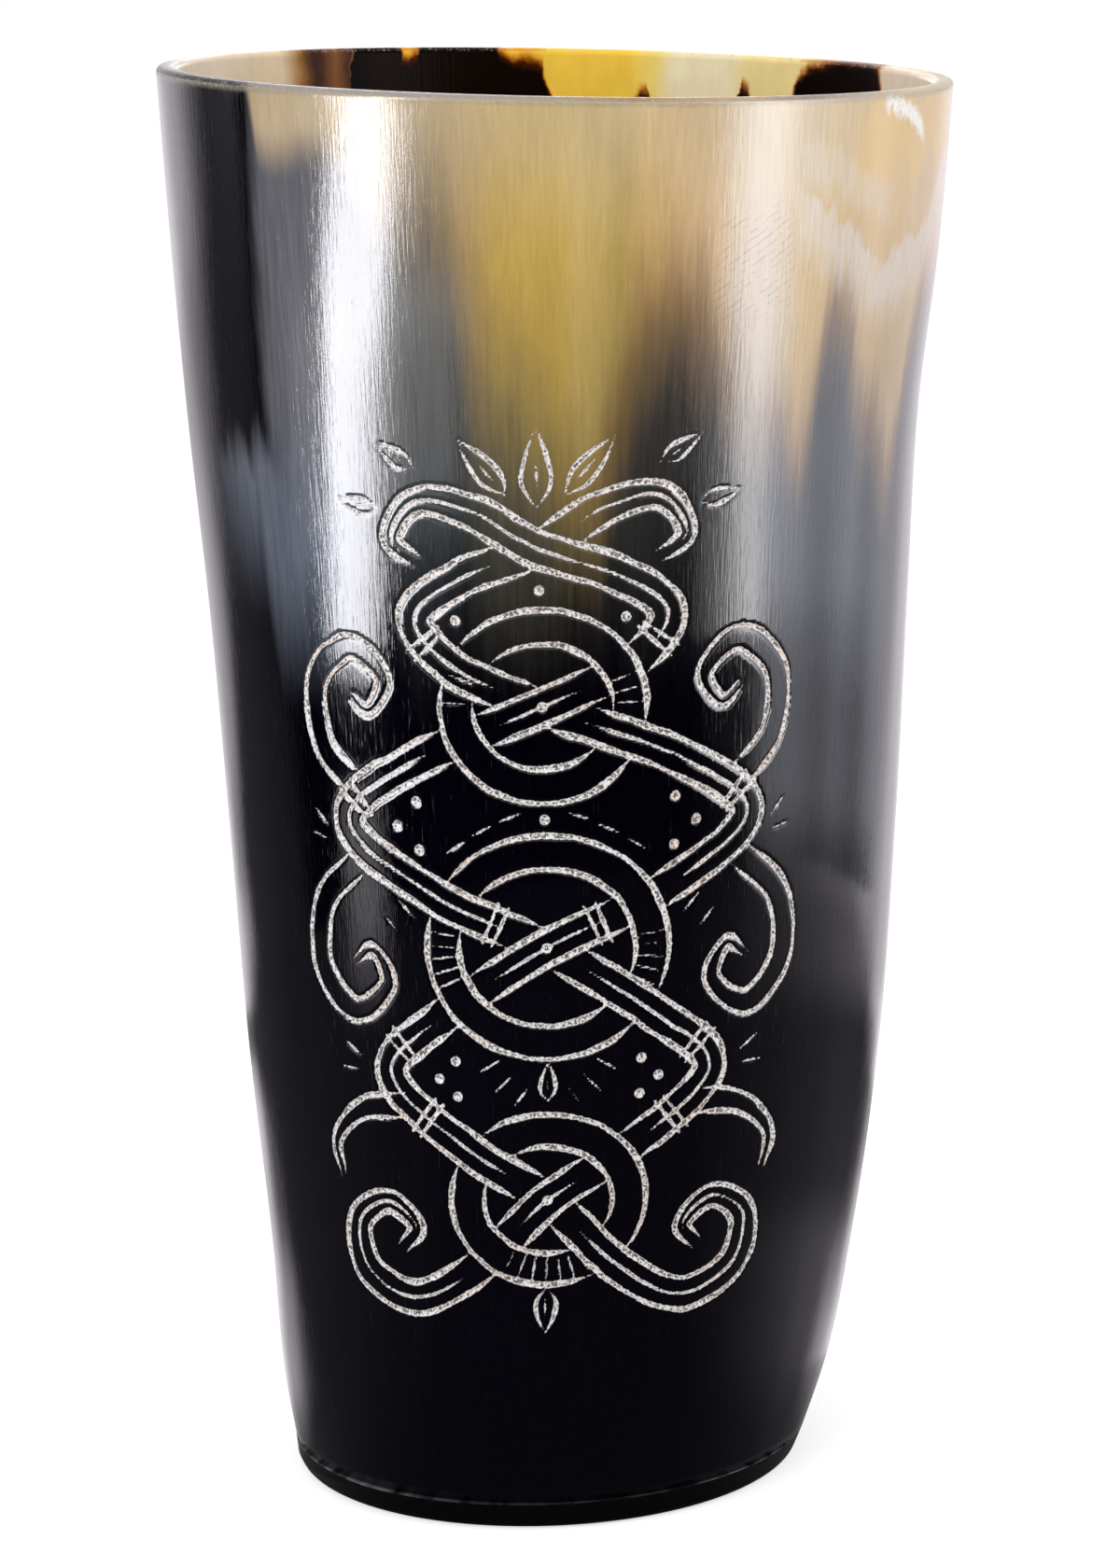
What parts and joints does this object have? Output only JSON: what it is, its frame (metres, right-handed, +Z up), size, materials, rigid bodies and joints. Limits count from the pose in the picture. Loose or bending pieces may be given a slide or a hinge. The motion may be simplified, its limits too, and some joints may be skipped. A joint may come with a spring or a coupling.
{
  "type": "horn drinking cup",
  "caption": "Tall tapered drinking cup cut from a hollow horn, leaning slightly over a flat glued-in base disc, with an engraved interlace on its front.",
  "frame": {"origin": "centre of the flat foot that the cup stands on", "axes": "+Z up out of the cup's mouth, -Y towards the engraved front, +X towards the side that the horn leans to"},
  "size_m": [0.083, 0.083, 0.152],
  "materials": {
    "horn": "polished horn, dark with amber patches",
    "base_horn": "black horn, ground and polished",
    "glue": "hard glue, cut flush"
  },
  "bodies": {
    "root": {"horn_wall": "horn", "base_disc": "base_horn", "glue_film": "glue"}
  },
  "joints": []
}
